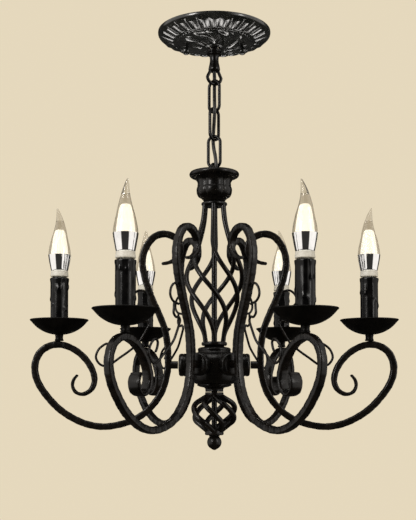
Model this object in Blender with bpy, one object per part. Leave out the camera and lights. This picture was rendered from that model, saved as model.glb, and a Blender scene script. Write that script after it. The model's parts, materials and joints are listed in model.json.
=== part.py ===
"""Six-arm wrought-iron candle chandelier on a short chain.

Metres, +Z up. The origin is the centre of the crossbar's top face, where the lamp meets the ceiling.
Every height below is measured down from the ceiling, and every radius from the lamp's axis.
"""
import math

import bmesh
import bpy
from mathutils import Matrix, Vector
from mathutils.geometry import interpolate_bezier

MM = 0.001
GAP = 0.3                     # between faces that touch, mm

ARM_COUNT = 6
CANDLE_RADIUS = 246.0         # candle axis from the lamp's axis, mm
HUB_ARM_HEIGHT = 534.0        # where the arms' tubes leave the hub, below the ceiling, mm
CAGE_TWIST = 127.0            # turn of the cage's bars between its rings, degrees
CAGE_START = -65.0            # bar's angle below the top ring, from the front, degrees

CANOPY_RADIUS = 90.0
CANOPY_DEPTH = 28.0
SCREW_SPACING = 90.0          # between the canopy's two cap nuts
CROSSBAR = (116.0, 20.0, 2.0)

WIRE_RADIUS = 2.5             # chain, loop and eye
LINK_BEND = 9.8               # bend radius of a link's centreline
FIRST_PIVOT = 84.4            # bottom of the canopy loop's wire centre
LINK_PITCH = 44.8
LOOP_PLANE, LINK_PLANES, EYE_PLANE = 25.0, (-35.0, 45.0, -15.0), 60.0
CABLE_RADIUS = 2.9
CAGE_BAR_RADIUS = 3.6
BASKET_BAR_RADIUS = 4.2
BASKET_TWIST = 1.9           # turn of the basket's bars, degrees per millimetre down
TENDRIL_RADIUS = 1.8

PIPE_RADIUS = 4.5

IRON = ((0.012, 0.011, 0.010, 1.0), 0.38, 0.6)
GLOSS = ((0.008, 0.008, 0.008, 1.0), 0.22, 0.5)
CABLE = ((0.02, 0.02, 0.02, 1.0), 0.5, 0.0)
ZINC = ((0.55, 0.55, 0.53, 1.0), 0.35, 1.0)
PORCELAIN = ((0.75, 0.74, 0.70, 1.0), 0.4, 0.0)
BULB = ((0.95, 0.93, 0.88, 1.0), 0.08, 0.0)
WAX = ((0.010, 0.010, 0.010, 1.0), 0.28, 0.0)


# ---------------------------------------------------------------- helpers

def point(radius, depth, angle=0.0):
    """A point at a radius and a depth below the ceiling, in mm; the angle is in degrees from +X."""
    turn = math.radians(angle)
    return Vector((radius * math.cos(turn), radius * math.sin(turn), -depth)) * MM


def smooth_curve(points, per_span):
    """Points along a Bezier curve through the given points, with handles along each point's chord."""
    points = [Vector(p) for p in points]
    last = len(points) - 1
    tangents = []
    for i in range(last + 1):
        chord = points[min(i + 1, last)] - points[max(i - 1, 0)]
        tangents.append(chord.normalized())
    path = [points[0]]
    for i in range(last):
        reach = (points[i + 1] - points[i]).length / 3
        span = interpolate_bezier(points[i], points[i] + tangents[i] * reach,
                                  points[i + 1] - tangents[i + 1] * reach, points[i + 1], per_span + 1)
        path += span[1:]
    return path


def finish(bm, name, look, angle=35.0):
    """Turn a bmesh into a named object with its own material, shaded smooth up to an edge angle."""
    bmesh.ops.recalc_face_normals(bm, faces=bm.faces)
    mesh = bpy.data.meshes.new(name)
    bm.to_mesh(mesh)
    bm.free()
    mesh.shade_smooth()
    mesh.set_sharp_from_angle(angle=math.radians(angle))
    obj = bpy.data.objects.new(name, mesh)
    bpy.context.collection.objects.link(obj)
    colour, roughness, metallic = look
    material = bpy.data.materials.new(name)
    material.use_nodes = True
    shader = material.node_tree.nodes["Principled BSDF"]
    shader.inputs["Base Color"].default_value = colour
    shader.inputs["Roughness"].default_value = roughness
    shader.inputs["Metallic"].default_value = metallic
    mesh.materials.append(material)
    return obj


def loft(rings, closed=False):
    """Skin a row of equal rings of points, capped at both ends unless the row closes on itself."""
    bm = bmesh.new()
    loops = [[bm.verts.new(p) for p in ring] for ring in rings]
    sides = len(loops[0])
    spans = len(loops) if closed else len(loops) - 1
    for i in range(spans):
        here, there = loops[i], loops[(i + 1) % len(loops)]
        for k in range(sides):
            m = (k + 1) % sides
            bm.faces.new((here[k], here[m], there[m], there[k]))
    if not closed:
        bm.faces.new(loops[0][::-1])
        bm.faces.new(loops[-1])
    return bm


def turned(profile, sides, centre=(0.0, 0.0)):
    """Turn a closed profile of (radius, depth) in mm about a vertical axis; radius 0 is a pole."""
    bm = bmesh.new()
    columns = []
    for radius, depth in profile:
        if radius == 0:
            columns.append([bm.verts.new(Vector((centre[0], centre[1], -depth)) * MM)] * sides)
            continue
        ring = []
        for k in range(sides):
            turn = math.tau * k / sides
            x = centre[0] + radius * math.cos(turn)
            y = centre[1] + radius * math.sin(turn)
            ring.append(bm.verts.new(Vector((x, y, -depth)) * MM))
        columns.append(ring)
    for i in range(len(columns)):
        here, there = columns[i], columns[(i + 1) % len(columns)]
        if here[0] is here[1] and there[0] is there[1]:
            continue
        for k in range(sides):
            m = (k + 1) % sides
            corners = []
            for vert in (here[k], here[m], there[m], there[k]):
                if vert not in corners:
                    corners.append(vert)
            bm.faces.new(corners)
    return bm


def tube(path, radius, sides, closed=False, side_axis=None):
    """A round tube along a path; its rings keep one side near side_axis, so it doesn't twist."""
    axis = Vector(side_axis) if side_axis else Vector((0.31, 0.95, 0.12))
    rings = []
    count = len(path)
    for i, centre in enumerate(path):
        before = path[(i - 1) % count] if closed or i else path[0]
        after = path[(i + 1) % count] if closed or i < count - 1 else path[-1]
        along = (after - before).normalized()
        across = (axis - along * axis.dot(along)).normalized()
        up = along.cross(across)
        ring = []
        for k in range(sides):
            turn = math.tau * (k + 0.5) / sides
            ring.append(centre + (across * math.cos(turn) + up * math.sin(turn)) * radius * MM)
        rings.append(ring)
    return loft(rings, closed)


def welded(name, pieces, look, angle=35.0, cut=()):
    """Join overlapping solids into one body, and cut others from it, with exact booleans."""
    base = finish(pieces[0], name, look, angle)
    tools = []
    for operation, group in (("UNION", pieces[1:]), ("DIFFERENCE", cut)):
        for bm in group:
            tool = finish(bm, name + "_tool", look, angle)
            tools.append(tool)
            boolean = base.modifiers.new(operation.lower(), "BOOLEAN")
            boolean.operation = operation
            boolean.solver = "EXACT"
            boolean.object = tool
    bpy.context.view_layer.update()
    result = bpy.data.meshes.new_from_object(base.evaluated_get(bpy.context.evaluated_depsgraph_get()))
    base.modifiers.clear()
    base.data = result
    for tool in tools:
        bpy.data.objects.remove(tool)
    bm = bmesh.new()
    bm.from_mesh(result)
    bmesh.ops.remove_doubles(bm, verts=bm.verts, dist=0.00001)
    bmesh.ops.dissolve_degenerate(bm, edges=bm.edges, dist=0.00001)
    bm.to_mesh(result)
    bm.free()
    result.shade_smooth()
    result.set_sharp_from_angle(angle=math.radians(angle))
    return base


def spun_copies(obj, names):
    """Copies of an object about the lamp's axis, sharing its mesh; the first name is the object itself."""
    obj.name = names[0]
    for k in range(1, len(names)):
        twin = bpy.data.objects.new(names[k], obj.data)
        twin.matrix_world = Matrix.Rotation(math.tau * k / len(names), 4, "Z")
        bpy.context.collection.objects.link(twin)


def numbered(stem):
    return [f"{stem}_{k + 1}" for k in range(ARM_COUNT)]


# ---------------------------------------------------------------- ceiling and chain

def ceiling_crossbar():
    """Strap screwed to the ceiling, with a slot near each end and a centre hole for the nipple."""
    length, width, thick = CROSSBAR
    strap = bmesh.new()
    bmesh.ops.create_cube(strap, size=1.0)
    bmesh.ops.scale(strap, vec=Vector((length, width, thick)) * MM, verts=strap.verts)
    bmesh.ops.translate(strap, vec=(0, 0, -thick / 2 * MM), verts=strap.verts)
    cuts = []
    for x in (-SCREW_SPACING / 2, SCREW_SPACING / 2):
        cuts.append(turned([(0, -2), (2.6, -2), (2.6, 4), (0, 4)], 12, (x, 0)))
    for x in (-27.0, 27.0):
        slot = bmesh.new()
        bmesh.ops.create_cube(slot, size=1.0)
        bmesh.ops.scale(slot, vec=Vector((16.0, 4.6, 8.0)) * MM, verts=slot.verts)
        bmesh.ops.translate(slot, vec=Vector((x, 0, 0)) * MM, verts=slot.verts)
        cuts.append(slot)
    welded("ceiling_crossbar", [strap], ZINC, cut=cuts)


def canopy():
    """Pressed dish that covers the ceiling box, 1.5 mm sheet, with a hole for the collar and two for screws."""
    outside = [(CANOPY_RADIUS, 0.4), (CANOPY_RADIUS, 3.0), (86.5, 8.0), (76.0, 14.0), (62.0, 18.8), (48.0, 21.8),
               (34.0, 24.4), (16.0, CANOPY_DEPTH), (6.5, CANOPY_DEPTH)]
    inside = [(6.5, CANOPY_DEPTH - 1.5), (16.0, CANOPY_DEPTH - 1.6), (34.0, 22.8), (48.0, 20.2), (62.0, 17.2),
              (76.0, 12.4), (85.0, 7.0), (88.4, 2.4), (88.4, 0.4)]
    holes = [turned([(0, 5), (2.6, 5), (2.6, 40), (0, 40)], 10, (x, 0))
             for x in (-SCREW_SPACING / 2, SCREW_SPACING / 2)]
    welded("canopy", [turned(outside + inside, 32)], GLOSS, angle=30, cut=holes)


def canopy_screw(name, x):
    """Screw from the crossbar through the canopy, ending in a ball cap nut below it."""
    centre_depth, ball = 30.6, 6.4
    profile = [(0, 2 + GAP), (4.4, 2 + GAP), (4.4, 4.5), (2.2, 4.5), (2.2, 23.8), (5.0, 23.8), (5.0, 26.2)]
    for step in range(1, 6):
        turn = math.radians(-40 + 130 * step / 6)
        profile.append((ball * math.cos(turn), centre_depth + ball * math.sin(turn)))
    profile.append((0, centre_depth + ball))
    finish(turned(profile, 12, (x, 0)), name, GLOSS)


def hanging_loop(name, plane, bottom, collar, legs_depth, half_width, flip):
    """A bored collar with a wire loop: hanging below it, or standing above it when flipped."""
    across = Vector((math.cos(math.radians(plane)), math.sin(math.radians(plane)), 0))
    leg = 6.2
    shoulder = legs_depth + 0.55 * (bottom - legs_depth)
    outline = [(leg, legs_depth - 4 * flip), (leg + 0.4, legs_depth), (half_width, shoulder)]
    bend = half_width
    for step in range(1, 6):
        turn = math.pi / 2 * step / 5
        depth = bottom - flip * bend * (1 - math.sin(turn))
        outline.append((bend * math.cos(turn), depth))
    route = [across * r * MM + Vector((0, 0, -d * MM)) for r, d in outline]
    route += [-across * r * MM + Vector((0, 0, -d * MM)) for r, d in outline[-2::-1]]
    wire = tube(route, WIRE_RADIUS, 8, side_axis=Vector((-across.y, across.x, 0)))
    top = min(depth for _, depth in collar) - 9
    base = max(depth for _, depth in collar) + 9
    bore = turned([(0, top), (3.6, top), (3.6, base), (0, base)], 12)
    solid = turned([(0, collar[0][1])] + collar + [(0, collar[-1][1])], 20)
    welded(name, [solid, wire], IRON, cut=[bore])


def chain_link(name, plane, top, bottom):
    """Oval link: two half-circle bends joined by straight sides, standing in a vertical plane."""
    across = Vector((math.cos(math.radians(plane)), math.sin(math.radians(plane)), 0))
    path = []
    for side in (1, -1):
        centre = bottom - LINK_BEND if side > 0 else top + LINK_BEND
        for step in range(8):
            turn = math.pi * step / 7
            r = side * LINK_BEND * math.cos(turn)
            path.append(across * r * MM + Vector((0, 0, -(centre + side * LINK_BEND * math.sin(turn)) * MM)))
    finish(tube(path, WIRE_RADIUS, 8, closed=True, side_axis=Vector((-across.y, across.x, 0))), name, IRON)


def power_cable():
    """Round cable woven through the chain, passing each crossing of two links on alternate sides."""
    route = [(0, 0, 44.0), (0, 0, 62.0), (0.4, 3.6, 73.0), (0.5, 6.8, 82.0), (0.3, 2.6, 97.0), (0.4, -4.2, 114.0),
             (0.6, -7.5, 127.0), (0.0, -3.4, 142.0), (-1.0, 3.0, 157.0), (-1.8, 6.7, 171.6), (-0.8, 2.4, 187.0),
             (1.6, -4.4, 202.0), (2.8, -7.0, 216.0), (1.8, -4.0, 226.0), (0, 0, 237.0), (0, 0, 246.0)]
    path = smooth_curve([Vector((x, y, -d)) * MM for x, y, d in route], 3)
    curve = bpy.data.curves.new("power_cable", "CURVE")
    curve.dimensions = "3D"
    curve.bevel_depth = CABLE_RADIUS * MM
    curve.bevel_resolution = 2
    curve.use_fill_caps = True
    spline = curve.splines.new("POLY")
    spline.points.add(len(path) - 1)
    for knot, place in zip(spline.points, path):
        knot.co = (*place, 1.0)
    obj = bpy.data.objects.new("power_cable", curve)
    bpy.context.collection.objects.link(obj)
    material = bpy.data.materials.new("power_cable")
    material.use_nodes = True
    shader = material.node_tree.nodes["Principled BSDF"]
    shader.inputs["Base Color"].default_value = CABLE[0]
    shader.inputs["Roughness"].default_value = CABLE[1]
    curve.materials.append(material)


# ---------------------------------------------------------------- centre column

def top_cup():
    """Bell cup over the column's top: thin sheet, rolled rim, a waist, and a hole for the eye's shank."""
    outside = [(7.0, 274.5), (16.5, 274.5), (21.0, 269.0), (25.6, 266.8), (28.6, 259.0), (27.3, 249.0), (29.0, 240.5),
               (35.4, 235.0), (38.9, 232.6), (39.8, 228.6), (37.6, 225.2), (34.2, 225.6)]
    inside = [(31.8, 229.4), (27.6, 238.0), (25.4, 249.0), (26.6, 258.4), (23.8, 265.4), (20.0, 267.2), (15.6, 272.6),
              (7.0, 272.6)]
    finish(turned(outside + inside, 20), "top_cup", IRON)


def bar_angle(depth):
    """A cage bar's angle from the front: it holds, then turns along a smooth step."""
    share = min(max((depth - 335.5) / 168.0, 0.0), 1.0)
    return CAGE_START + CAGE_TWIST * share * share * (3 - 2 * share)


def cage():
    """Six round bars that swell out, sweep in while they turn, and are welded to a ring at each end."""
    outline = [(16.8, 279.0), (18.4, 300.0), (23.5, 320.0), (35.2, 356.4), (41.6, 376.0), (44.0, 391.0), (42.9, 410.0),
               (39.0, 428.0), (32.8, 447.0), (25.4, 466.0), (18.6, 483.0), (15.4, 500.0)]
    bars = []
    for k in range(ARM_COUNT):
        path = [point(r, d, bar_angle(d) + 60 * k - 90) for r, d in outline]
        outwards = Vector((path[5].x, path[5].y, 0)).normalized()
        bars.append(tube(path, CAGE_BAR_RADIUS, 6, side_axis=outwards))
    top = turned([(6.6, 274.8), (20.6, 274.8), (20.6, 280.6), (6.6, 280.6)], 24)
    bottom = turned([(6.6, 498.0), (20.3, 498.0), (20.3, 503.6), (6.6, 503.6)], 24)
    welded("cage", [top, bottom] + bars, IRON)


def centre_pipe():
    """Threaded pipe that carries the whole column, from the eye's collar to the finial, bored for the wires."""
    finish(turned([(PIPE_RADIUS, 262.0), (PIPE_RADIUS, 636.0), (3.2, 636.0), (3.2, 262.0)], 16), "centre_pipe", ZINC)


def hub_body():
    """Round drum with a rolled shoulder; hollow and open below, with six holes for the arms' tubes."""
    outside = [(5.2, 503.9), (16.0, 504.5), (24.0, 507.0), (26.0, 512.0), (32.0, 518.0), (36.5, 526.0), (37.5, 536.0),
               (36.5, 548.0), (33.6, 560.0), (28.0, 565.0)]
    inside = [(26.0, 562.0), (31.2, 557.0), (33.6, 547.0), (34.4, 536.0), (33.4, 527.0), (29.0, 520.0), (23.0, 514.0),
              (20.0, 509.5), (5.2, 508.0)]
    finish(turned(outside + inside, 20), "hub_body", IRON)


def hub_lid():
    """Cap under the hub with the neck that the lower cage hangs from."""
    profile = [(5.2, 562.6), (25.4, 562.6), (27.6, 565.4), (22.4, 568.2), (14.4, 569.6), (14.4, 576.6), (5.2, 576.6)]
    finish(turned(profile, 24), "hub_lid", IRON)


def wire_splice():
    """Porcelain block round the pipe inside the hub, where the cable's wires meet the six arms' wires."""
    finish(turned([(5.2, 520.0), (15.0, 520.0), (17.0, 522.0), (17.0, 546.0), (15.0, 548.0), (5.2, 548.0)], 16),
           "wire_splice", PORCELAIN)


def lower_cage():
    """Small basket of six thick bars between two discs, turned the same way as the cage above."""
    outline = [(10.6, 582.4), (15.4, 585.6), (20.8, 589.0), (26.2, 592.6), (30.6, 597.0), (33.0, 602.6), (33.6, 608.0),
               (33.4, 613.4), (31.8, 618.8), (27.6, 623.6), (22.0, 628.4), (16.4, 633.2), (11.0, 638.0)]
    bars = []
    for k in range(ARM_COUNT):
        path = [point(r, d, -90 + 60 * k + BASKET_TWIST * (d - 580.0)) for r, d in outline]
        outwards = Vector((path[6].x, path[6].y, 0)).normalized()
        bars.append(tube(path, BASKET_BAR_RADIUS, 6, side_axis=outwards))
    top = turned([(5.2, 576.9), (14.4, 576.9), (14.4, 583.0), (5.2, 583.0)], 20)
    bottom = turned([(5.2, 635.0), (12.0, 635.0), (14.7, 639.6), (14.7, 645.0), (5.2, 645.0)], 20)
    welded("lower_cage", [top, bottom] + bars, IRON)


def finial():
    """Ball nut with a slight point, screwed on the pipe's lower end."""
    profile = [(0, 636.4), (4.6, 636.4), (4.6, 645.3), (7.0, 645.3), (7.0, 647.6)]
    for step in range(1, 8):
        turn = math.radians(-52 + 128 * step / 8)
        profile.append((11.4 * math.cos(turn), 656.0 + 11.4 * math.sin(turn)))
    profile.append((0, 668.6))
    finish(turned(profile, 16), "finial", IRON)


# ---------------------------------------------------------------- arms and candles

def arm_section(share):
    """Half thickness, half width of the arm's bar along its length, from the inner tail to the scroll's end."""
    if share < 0.12:
        return 2.1 + 27.0 * share, 3.4 + 21.0 * share
    if share < 0.76:
        return 5.3, 6.0
    fade = (share - 0.76) / 0.24
    return 5.3 - 3.5 * fade ** 1.6, 6.0 + 4.4 * fade


def arm():
    """Forged bar in a vertical plane: inner crook, long S, outer scroll; a tube joins it to the hub."""
    outline = [(84, 373), (73.6, 371.4), (64.8, 367.8), (56.6, 361), (52.6, 350.5), (55.6, 338.5), (65.6, 329.3),
               (79.5, 325.3), (94.4, 329.3), (105.8, 341.9), (112.6, 357.9), (114.2, 373), (111.2, 391.5),
               (105.6, 410.7), (97.6, 431.5), (88.8, 450.7), (78.4, 477.9), (74.4, 502), (73.2, 533.9), (76.6, 556.3),
               (82.8, 575.5), (91.4, 589.9), (101.6, 602), (115, 613.6), (136, 624.2), (172.8, 631.5), (200, 627.9),
               (222.6, 618.6), (244.8, 604), (262.9, 585.5), (276.8, 565.9), (283.4, 548.3), (283.6, 530.7),
               (275.8, 513.6), (261, 503.6), (244.8, 501.6), (228.8, 506), (213, 515.8), (200.4, 529.3),
               (191.6, 546), (189.9, 561.1), (195.6, 573.6), (208, 580.2), (219, 577.2), (224.4, 567.5),
               (222.8, 557.6), (216.4, 549.4)]
    path = [point(r, d) for r, d in outline]
    rings = []
    last = len(path) - 1
    for i, centre in enumerate(path):
        along = (path[min(i + 1, last)] - path[max(i - 1, 0)]).normalized()
        inward = Vector((0, 1, 0)).cross(along)
        thick, wide = arm_section(i / last)
        bevel = 0.5 * thick
        ring = []
        for a, b in ((thick, wide - bevel), (thick - bevel, wide), (bevel - thick, wide), (-thick, wide - bevel),
                     (-thick, bevel - wide), (bevel - thick, -wide), (thick - bevel, -wide), (thick, bevel - wide)):
            ring.append(centre + inward * a * MM + Vector((0, b * MM, 0)))
        rings.append(ring)
    bar = loft(rings)
    stub = bmesh.new()
    bmesh.ops.create_cone(stub, cap_ends=True, segments=12, radius1=6 * MM, radius2=6 * MM, depth=14.6 * MM)
    bmesh.ops.transform(stub, matrix=Matrix.Translation((64.9 * MM, 0, -HUB_ARM_HEIGHT * MM))
                        @ Matrix.Rotation(math.pi / 2, 4, "Y"), verts=stub.verts)
    spun_copies(welded("arm", [bar, stub], IRON), numbered("arm"))


def arm_cap():
    """Round boss between the hub and an arm's tube."""
    bm = turned([(0, 0), (8.6, 0), (8.6, 3.0), (18.0, 4.6), (18.0, 15.6), (15.6, 18.6), (0, 18.6)], 14)
    swing = Matrix.Translation((38.4 * MM, 0, -HUB_ARM_HEIGHT * MM)) @ Matrix.Rotation(-math.pi / 2, 4, "Y")
    bmesh.ops.transform(bm, matrix=swing, verts=bm.verts)
    spun_copies(finish(bm, "arm_cap", IRON), numbered("arm_cap"))


def tendril():
    """Thin wire beside the arm: a drop-shaped loop, then a wavy stem that ends in a small curl."""
    drop = [(110.2, 420.8), (112.8, 416.6), (120, 415.6), (128.6, 422.6), (131, 433), (124, 441.4), (106.4, 445.8)]
    stem = [(120.4, 443.6), (120.8, 451.4), (121.4, 460), (114.6, 465.4), (107.4, 464.6), (103.6, 469.8),
            (106.6, 476.6), (112, 486), (121, 499.8), (136, 512.6), (150.4, 522.8), (164.8, 533), (173.4, 535.6),
            (181.6, 532.4), (187.6, 522.4), (184.4, 511), (178, 504.2), (169.9, 500.2), (164.6, 504.6),
            (166.4, 513.2), (170.9, 520)]
    wires = []
    for outline in (drop, stem):
        wires.append(tube([point(r, d) for r, d in outline], TENDRIL_RADIUS, 5, side_axis=(0, 1, 0)))
    spun_copies(welded("tendril", wires, IRON), numbered("tendril"))


def drip_cup():
    """Bowl under the candle with a stem down to the arm; thin sheet, open upwards."""
    profile = [(0, 483.7), (12.4, 483.3), (18.2, 481.9), (24.8, 479.1), (32.8, 474.3), (38.2, 469.3), (45.2, 461.3),
               (46.4, 462.1), (39.2, 470.7), (33.6, 475.9), (25.4, 480.7), (18.6, 483.5), (12.6, 485.1), (6.2, 485.7),
               (6.2, 495.9), (0, 495.9)]
    spun_copies(finish(turned(profile, 16, (CANDLE_RADIUS, 0)), "drip_cup", IRON), numbered("drip_cup"))


def candle_sleeve():
    """Candle tube that slips over the lampholder; hollow and open at both ends."""
    profile = [(13.2, 395.7), (14.8, 397.3), (14.8, 440.0), (14.2, 480.3), (11.9, 480.3), (11.9, 395.7)]
    spun_copies(finish(turned(profile, 14, (CANDLE_RADIUS, 0)), "candle_sleeve", WAX), numbered("candle_sleeve"))


def lampholder():
    """Candle lampholder on the cup's stem: a solid foot and a threaded well for the bulb's base."""
    profile = [(0, 483.1), (11.0, 483.1), (11.2, 460.0), (11.0, 398.3), (7.6, 398.3), (7.6, 428.3), (0, 428.3)]
    spun_copies(finish(turned(profile, 12, (CANDLE_RADIUS, 0)), "lampholder", PORCELAIN), numbered("lampholder"))


def bulb():
    """Flame bulb: screw base in the lampholder, collar, chromed cup and a clear tip bent outwards."""
    profile = [(0, 283.3), (2.8, 287.3), (4.2, 299.3), (9.6, 321.3), (14.6, 338.3), (17.9, 358.3), (13.4, 384.1),
               (14.2, 393.9), (6.8, 395.4), (6.8, 422.3), (0, 425.3)]
    bm = turned(profile, 12, (CANDLE_RADIUS, 0))
    lean = 5.0 * MM
    for vert in bm.verts:
        height = max(0.0, (332.0 + vert.co.z / MM) / 49.0)
        vert.co.x += lean * height * height
    spun_copies(finish(bm, "bulb", BULB), numbered("bulb"))


def build():
    for old in list(bpy.data.objects):
        bpy.data.objects.remove(old)
    ceiling_crossbar()
    canopy()
    canopy_screw("canopy_screw_left", -SCREW_SPACING / 2)
    canopy_screw("canopy_screw_right", SCREW_SPACING / 2)
    hanging_loop("canopy_loop", LOOP_PLANE, FIRST_PIVOT, [(5.6, 3.0), (5.6, 28.6), (11.8, 28.6), (11.8, 37.6), (7.8, 39.0),
                 (7.2, 50.0), (9.0, 59.0), (9.0, 62.0), (6.4, 64.6)], 62.0, 12.2, 1)
    for k, plane in enumerate(LINK_PLANES):
        upper = FIRST_PIVOT + LINK_PITCH * k
        chain_link(f"chain_link_{k + 1}", plane, upper - 2 * WIRE_RADIUS - GAP, upper + LINK_PITCH)
    last_pivot = FIRST_PIVOT + LINK_PITCH * len(LINK_PLANES)
    hanging_loop("top_eye", EYE_PLANE, last_pivot - 2 * WIRE_RADIUS - GAP, [(6.5, 261.6), (6.5, 240.6)], 242.0, 10.0, -1)
    power_cable()
    top_cup()
    cage()
    centre_pipe()
    hub_body()
    hub_lid()
    wire_splice()
    lower_cage()
    finial()
    arm()
    arm_cap()
    tendril()
    drip_cup()
    candle_sleeve()
    lampholder()
    bulb()


build()
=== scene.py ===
import json
import math

import bpy
import numpy as np
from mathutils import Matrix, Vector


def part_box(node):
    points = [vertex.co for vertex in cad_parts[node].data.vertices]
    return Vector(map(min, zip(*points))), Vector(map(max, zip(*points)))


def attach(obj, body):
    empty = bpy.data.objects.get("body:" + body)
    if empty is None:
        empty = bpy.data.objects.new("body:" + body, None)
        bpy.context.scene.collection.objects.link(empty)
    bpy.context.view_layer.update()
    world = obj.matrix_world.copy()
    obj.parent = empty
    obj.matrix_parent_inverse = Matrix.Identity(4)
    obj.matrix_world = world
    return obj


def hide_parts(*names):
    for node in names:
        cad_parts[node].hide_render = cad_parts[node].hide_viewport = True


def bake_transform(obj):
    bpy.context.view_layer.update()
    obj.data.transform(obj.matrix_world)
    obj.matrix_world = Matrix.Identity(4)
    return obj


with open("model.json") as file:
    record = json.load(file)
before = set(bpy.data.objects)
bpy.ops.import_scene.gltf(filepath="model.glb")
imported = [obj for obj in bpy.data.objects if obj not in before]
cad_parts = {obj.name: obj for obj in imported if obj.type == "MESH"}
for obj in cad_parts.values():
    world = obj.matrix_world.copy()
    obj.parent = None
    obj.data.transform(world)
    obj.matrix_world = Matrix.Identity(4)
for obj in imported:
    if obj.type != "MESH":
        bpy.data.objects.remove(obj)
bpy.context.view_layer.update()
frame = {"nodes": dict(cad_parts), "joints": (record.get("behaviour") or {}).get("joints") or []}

# Lengths are in millimetres below, and become metres when a mesh is made.
# A depth is measured down from the ceiling, a radius out from the lamp's axis.
mm = 0.001
armCount = sum(name.startswith("candle_sleeve_") for name in frame["nodes"])
candleLow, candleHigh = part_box("candle_sleeve_1")
candleRadius = round((candleLow + candleHigh).xy.length / 2 / mm, 1)
sleeveTop = -candleHigh.z / mm
swings = [joint for joint in frame["joints"] if joint["name"].startswith("chain_swing")]
hingeDepths = [-joint["pos_m"][2] / mm for joint in swings]


def smoothLine(knots, count):
    # Catmull-Rom curve through the knots, spaced by their distances, sampled evenly along its length.
    p = np.asarray(knots, float)
    p = np.vstack([2 * p[0] - p[1], p, 2 * p[-1] - p[-2]])
    gap = np.maximum(np.linalg.norm(np.diff(p, axis=0), axis=1), 1e-6) ** 0.5
    t = np.concatenate([[0.0], np.cumsum(gap)])
    fine = np.linspace(t[1], t[-2] - 1e-9, 24 * len(knots))
    k = np.clip(np.searchsorted(t, fine, side="right") - 1, 1, len(p) - 3)
    t0, t1, t2, t3 = t[k - 1], t[k], t[k + 1], t[k + 2]
    def mix(a, b, ta, tb):
        # Straight mix of two points, all a at ta and all b at tb.
        return a * ((tb - fine) / (tb - ta))[:, None] + b * ((fine - ta) / (tb - ta))[:, None]
    a1, a2, a3 = mix(p[k - 1], p[k], t0, t1), mix(p[k], p[k + 1], t1, t2), mix(p[k + 1], p[k + 2], t2, t3)
    line = mix(mix(a1, a2, t0, t2), mix(a2, a3, t1, t3), t1, t2)
    run = np.concatenate([[0.0], np.cumsum(np.linalg.norm(np.diff(line, axis=0), axis=1))])
    even = np.linspace(0, run[-1], count)
    return np.stack([np.interp(even, run, line[:, i]) for i in range(line.shape[1])], axis=1)


def fade(x, low, high):
    # Smooth step from 0 at low to 1 at high.
    s = np.clip((x - low) / (high - low), 0, 1)
    return s * s * (3 - 2 * s)


def bump(x, centre, width):
    # Bell of height 1 about a centre.
    return np.exp(-((x - centre) / width) ** 2)


def shell(grid, wrapRows=False):
    # A closed skin over rows of rings: quads between rows, and a fan to each end ring's centre.
    grid = np.asarray(grid, float)
    rows, cols = grid.shape[:2]
    index = np.arange(rows * cols).reshape(rows, cols)
    here = index if wrapRows else index[:-1]
    there = np.roll(index, -1, axis=0) if wrapRows else index[1:]
    quads = np.stack([here, np.roll(here, -1, axis=1), np.roll(there, -1, axis=1), there],
                     axis=-1).reshape(-1, 4)
    points = grid.reshape(-1, 3)
    fans = np.empty((0, 3), int)
    if not wrapRows:
        points = np.vstack([points, grid[0].mean(axis=0), grid[-1].mean(axis=0)])
        first, last = index[0], index[-1]
        start = np.stack([np.full(cols, rows * cols), np.roll(first, -1), first], axis=-1)
        end = np.stack([np.full(cols, rows * cols + 1), last, np.roll(last, -1)], axis=-1)
        fans = np.vstack([start, end])
    a, b, c, d = (points[quads[:, i]] for i in range(4))
    volume = np.einsum("ij,ij->i", a, np.cross(b, c)).sum() + np.einsum("ij,ij->i", a, np.cross(c, d)).sum()
    if len(fans):
        e, f, g = (points[fans[:, i]] for i in range(3))
        volume += np.einsum("ij,ij->i", e, np.cross(f, g)).sum()
    if volume < 0:
        quads, fans = quads[:, ::-1], fans[:, ::-1]
    return points, quads, fans


def piece(name, shells, finish, body, edge=40.0, nodes=(), turn=0.0):
    # One object from a list of closed skins, turned about the lamp's axis, riding on a CAD body.
    c, s = math.cos(turn), math.sin(turn)
    spin = np.array([[c, s, 0], [-s, c, 0], [0, 0, 1]])
    allPoints, corners, starts, sizes, base = [], [], [], [], 0
    for points, quads, fans in shells:
        allPoints.append(points @ spin * mm)
        for group in (quads, fans):
            if len(group):
                corners.append((group + base).reshape(-1))
                sizes.append(np.full(len(group), group.shape[1]))
        base += len(points)
    points, corners, sizes = np.vstack(allPoints), np.concatenate(corners), np.concatenate(sizes)
    starts = np.concatenate([[0], np.cumsum(sizes)[:-1]])
    mesh = bpy.data.meshes.new(name)
    mesh.vertices.add(len(points))
    mesh.vertices.foreach_set("co", points.astype(np.float32).reshape(-1))
    mesh.loops.add(len(corners))
    mesh.loops.foreach_set("vertex_index", corners.astype(np.int32))
    mesh.polygons.add(len(sizes))
    mesh.polygons.foreach_set("loop_start", starts.astype(np.int32))
    mesh.update(calc_edges=True)
    mesh.validate()
    mesh.shade_smooth()
    mesh.set_sharp_from_angle(angle=math.radians(edge))
    mesh.materials.append(finish)
    obj = bpy.data.objects.new(name, mesh)
    bpy.context.scene.collection.objects.link(obj)
    if body:
        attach(obj, body)
    if nodes:
        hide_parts(*nodes)
    return obj


def turned(profile, cols=64, centre=0.0, relief=None):
    # Turn a (radius, depth) line about a vertical axis; relief(radius, depth, angle) adds to the radius.
    line = np.asarray(profile, float)
    angle = np.linspace(0, 2 * np.pi, cols, endpoint=False)
    radius = np.repeat(line[:, :1], cols, axis=1)
    depth = np.repeat(line[:, 1:2], cols, axis=1)
    if relief is not None:
        radius = radius + relief(radius, depth, angle[None, :])
    return np.stack([centre + radius * np.cos(angle), radius * np.sin(angle), -depth], axis=-1)


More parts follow.
